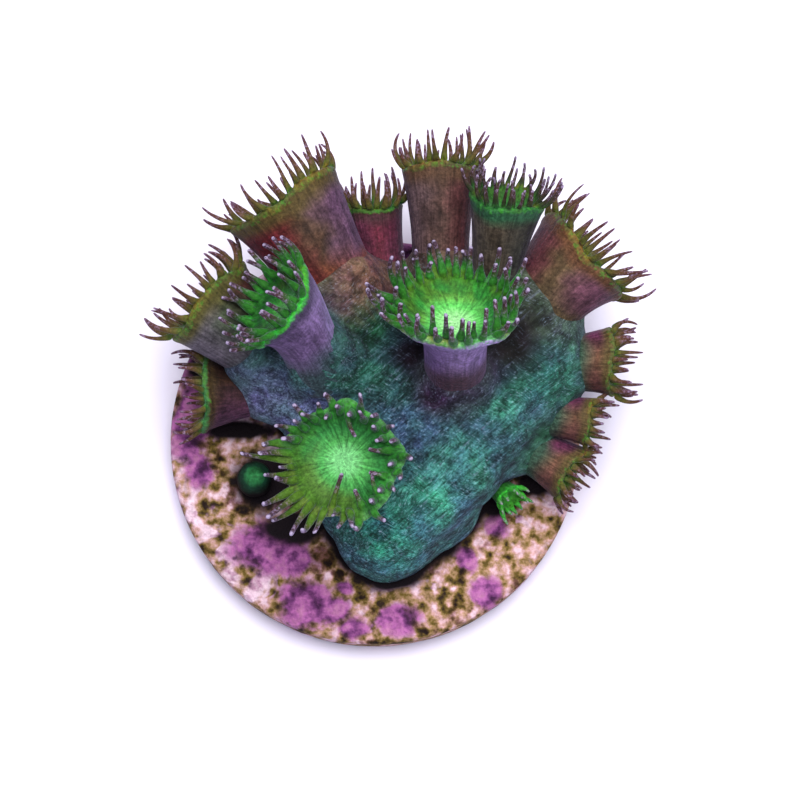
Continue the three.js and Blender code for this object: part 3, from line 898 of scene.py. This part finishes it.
def mound_skin():
    """Teal flesh with a nap of fine blue-grey fibres, dark between them."""
    skin = Finish("mound_skin", 0.7, sheen=0.06)
    place = skin.place()
    cloud = skin.grain(place, 420, 3, 0.6)
    nap = skin.nap(place)
    smooth = skin.mark("tint", "Color")
    smooth = skin.blend(0.8, smooth, skin.ramp(cloud, [
        (0.32, (1.15, 0.85, 1.3, 1)), (0.45, (0.9, 0.95, 1.05, 1)), (0.55, (1.0, 1.25, 1.05, 1)),
        (0.68, (0.85, 1.45, 0.95, 1)),
    ]), "MULTIPLY")
    mottles = skin.grain(place, 900, 3, 0.6, 0.5)
    smooth = skin.blend(0.9, smooth, skin.grey(mottles, 0.38, 0.62, 0.4, 1.55), "MULTIPLY")
    furred = skin.blend(1.0, smooth, skin.grey(nap, 0.4, 0.6, 0.24, 1.9), "MULTIPLY")
    furred = skin.blend(skin.step(nap, 0.53, 0.69), furred, srgb(166, 190, 216))
    wisps = skin.grain(skin.stretched(place, (420, 4800, 2600), 40), 1, 4, 0.7, 0.4)
    furred = skin.blend(0.8, furred, skin.grey(wisps, 0.38, 0.6, 0.4, 1.55), "MULTIPLY")
    pale = skin.maths("MULTIPLY", skin.step(wisps, 0.56, 0.74), 0.55)
    furred = skin.blend(pale, furred, srgb(140, 150, 186))
    strength = skin.mark("tint", "Alpha")
    skin.colour(skin.blend(strength, smooth, furred))
    skin.relief(skin.maths("MULTIPLY", nap, strength), 0.5, 0.8)
    return skin.material


def disc_crust():
    """Pale ceramic under a grainy olive-gold film, with ragged plates of purple crust."""
    crust = Finish("disc_crust", 0.85)
    place = crust.place()
    grains = crust.grain(place, 1100, 3, 0.5)
    lumps = crust.grain(place, 330, 3, 0.6, 0.5)
    flecks = crust.grain(place, 2400, 3, 0.65)
    film = crust.ramp(grains, [
        (0.32, srgb(50, 36, 26)), (0.42, srgb(114, 94, 42)), (0.51, srgb(178, 142, 108)),
        (0.59, srgb(216, 170, 170)), (0.68, srgb(246, 212, 226)),
    ])
    bare = crust.ramp(grains, [
        (0.32, srgb(112, 76, 104)), (0.43, srgb(198, 152, 178)), (0.57, srgb(250, 220, 236)),
    ])
    scraped = crust.maths("ADD", lumps, crust.maths("MULTIPLY", crust.mark("bare"), 0.07))
    top = crust.blend(crust.step(scraped, 0.56, 0.64), film, bare)
    stain = crust.blend(1.0, top, (0.4, 0.3, 0.42, 1), "MULTIPLY")
    top = crust.blend(crust.step(crust.swayed(lumps, grains, 0.3), 0.44, 0.32), top, stain)
    plate = crust.ramp(crust.swayed(grains, lumps, 0.9), [
        (0.3, srgb(72, 34, 74)), (0.44, srgb(126, 66, 124)), (0.57, srgb(178, 102, 166)),
        (0.74, srgb(194, 126, 172)),
    ])
    ragged = crust.swayed(crust.swayed(crust.mark("crust"), lumps, 1.6), grains, 1.0)
    top = crust.blend(crust.step(ragged, 0.22, 0.8), top, plate)
    top = crust.blend(0.5, top, crust.grey(flecks, 0.34, 0.66, 0.6, 1.35), "MULTIPLY")
    # Painted shade, near black, over those spots and round the mound's foot.
    shaded = crust.step(crust.swayed(crust.mark("painted_shade"), lumps, 0.9), 0.25, 0.85)
    top = crust.blend(shaded, top, srgb(22, 14, 20))
    crust.colour(top)
    crust.relief(crust.maths("ADD", grains, flecks), 0.3, 0.8)
    return crust.material


def bud_skin():
    """Green flesh gathered at the top, with its lower part painted near-black shade."""
    skin = Finish("bud_skin", 0.7)
    fine = skin.grain(skin.place(), 3000, 3, 0.7)
    # Painted shade: near black below, green towards the gathered top.
    body = skin.ramp(skin.mark("rise"), [
        (0.62, srgb(10, 10, 12)), (0.86, srgb(18, 62, 42)), (0.99, srgb(56, 152, 84)),
    ])
    cloud = skin.grain(skin.place(), 900, 2)
    body = skin.blend(0.8, body, skin.grey(cloud, 0.35, 0.65, 0.4, 1.4), "MULTIPLY")
    skin.colour(skin.blend(0.7, body, skin.grey(fine, 0.35, 0.65, 0.5, 1.3), "MULTIPLY"))
    skin.relief(fine, 0.08, 0.7)
    return skin.material


# The scene round the object


def white_floor():
    bm = bmesh.new()
    bmesh.ops.create_grid(bm, x_segments=1, y_segments=1, size=1.5)
    mesh = bpy.data.meshes.new("white_floor")
    bm.to_mesh(mesh)
    bm.free()
    floor = bpy.data.objects.new("white_floor", mesh)
    bpy.context.collection.objects.link(floor)
    paint = Finish("white_paper", 0.9)
    paint.shader.inputs["Base Color"].default_value = (0.735, 0.715, 0.84, 1)
    mesh.materials.append(paint.material)


def soft_box(name, place, size, power, colour):
    light = bpy.data.lights.new(name, "AREA")
    light.shape = "DISK"
    light.size = size
    light.energy = power
    light.color = colour
    lamp = bpy.data.objects.new(name, light)
    lamp.location = place
    lamp.rotation_euler = Vector(place).to_track_quat("Z", "Y").to_euler()
    bpy.context.collection.objects.link(lamp)


def studio():
    world = bpy.data.worlds.new("lilac_room")
    bpy.context.scene.world = world
    world.use_nodes = True
    sky = world.node_tree.nodes["Background"]
    sky.inputs["Color"].default_value = (0.72, 0.66, 1.0, 1)
    sky.inputs["Strength"].default_value = 0.23
    soft_box("overhead_box", (0.05, 0.11, 0.5), 0.5, 5.6, (1.0, 0.99, 0.97))
    soft_box("front_box", (0.1, -0.35, 0.25), 0.15, 0.35, (0.9, 0.88, 1.0))
    bpy.context.scene.view_settings.view_transform = "Standard"


# What the camera looks at, from how far, and from how many degrees above level.
AIM = (1.95, 3.05, 3.5)
AWAY = 260
ABOVE = 80


def photo_camera():
    lens = bpy.data.cameras.new("photo_camera")
    lens.lens, lens.sensor_width = 150, 36
    lens.clip_start = 0.01
    camera = bpy.data.objects.new("photo_camera", lens)
    above = math.radians(ABOVE)
    away = Vector((0, -math.cos(above), math.sin(above)))
    camera.location = (Vector(AIM) + away * AWAY) * MM
    camera.rotation_euler = away.to_track_quat("Z", "Y").to_euler()
    bpy.context.collection.objects.link(camera)
    bpy.context.scene.camera = camera


photo_camera()
studio()
white_floor()
for index, polyp in enumerate(POLYPS):
    grow_polyp(polyp, index, polyp_skin(polyp))
grow_mound(mound_skin())
crusted_disc(disc_crust())
close_bud(bud_skin())
